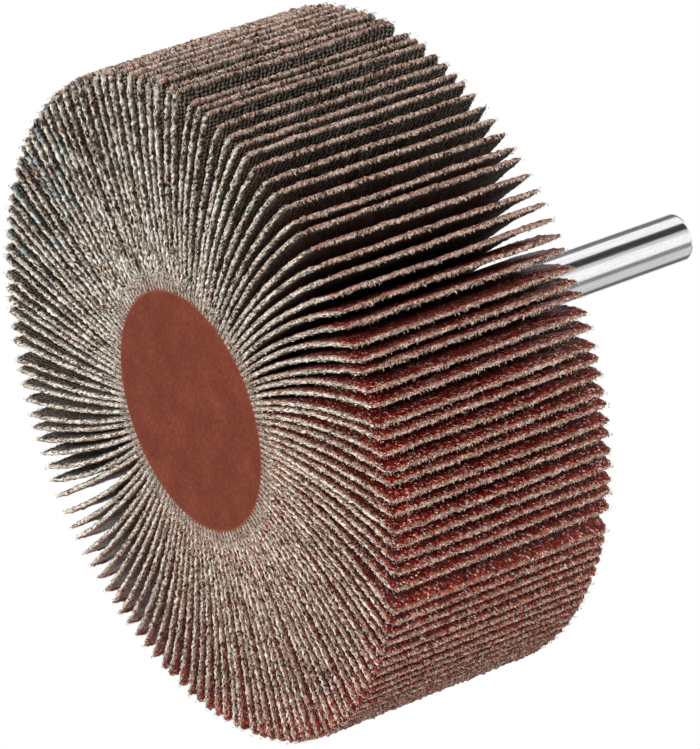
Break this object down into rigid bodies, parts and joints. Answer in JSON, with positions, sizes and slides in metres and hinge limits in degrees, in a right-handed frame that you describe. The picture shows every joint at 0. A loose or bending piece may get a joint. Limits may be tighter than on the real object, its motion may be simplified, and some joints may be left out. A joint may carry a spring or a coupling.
{
  "type": "flap wheel",
  "caption": "Flap wheel with a round shank: abrasive cloth flaps stand out radially from a cast resin core, for grinding and polishing with the rim.",
  "frame": {"origin": "centre of the front face of the resin core, on the wheel's axis, in the plane that the flaps' front edges lie in; the wheel stands on that plane", "axes": "+Z along the wheel's axis from the front face towards the free end of the shank; -Y is 12 o'clock and +X is 3 o'clock as the front face is looked at"},
  "size_m": [0.08, 0.08, 0.071],
  "materials": {
    "core_resin": "cast filled resin, matt red-brown with a fine mottle",
    "shank_steel": "bright ground steel",
    "flap_cloth": "coated abrasive cloth: red-brown oxide grain on one face, grey-brown cotton backing on the other, pale frayed edges"
  },
  "bodies": {
    "root": {"resin_core": "core_resin", "shank": "shank_steel", "flaps_01": "flap_cloth", "flaps_02": "flap_cloth", "flaps_03": "flap_cloth", "flaps_04": "flap_cloth", "flaps_05": "flap_cloth", "flaps_06": "flap_cloth", "flaps_07": "flap_cloth", "flaps_08": "flap_cloth", "flaps_09": "flap_cloth", "flaps_10": "flap_cloth", "flaps_11": "flap_cloth", "flaps_12": "flap_cloth", "flaps_13": "flap_cloth", "flaps_14": "flap_cloth", "flaps_15": "flap_cloth", "flaps_16": "flap_cloth", "flaps_17": "flap_cloth", "flaps_18": "flap_cloth", "flaps_19": "flap_cloth", "flaps_20": "flap_cloth", "flaps_21": "flap_cloth", "flaps_22": "flap_cloth", "flaps_23": "flap_cloth", "flaps_24": "flap_cloth", "flaps_25": "flap_cloth", "flaps_26": "flap_cloth", "flaps_27": "flap_cloth", "flaps_28": "flap_cloth", "flaps_29": "flap_cloth", "flaps_30": "flap_cloth", "flaps_31": "flap_cloth", "flaps_32": "flap_cloth", "flaps_33": "flap_cloth", "flaps_34": "flap_cloth", "flaps_35": "flap_cloth", "flaps_36": "flap_cloth", "flaps_37": "flap_cloth", "flaps_38": "flap_cloth", "flaps_39": "flap_cloth", "flaps_40": "flap_cloth", "flaps_41": "flap_cloth", "flaps_42": "flap_cloth", "flaps_43": "flap_cloth", "flaps_44": "flap_cloth"}
  },
  "joints": []
}
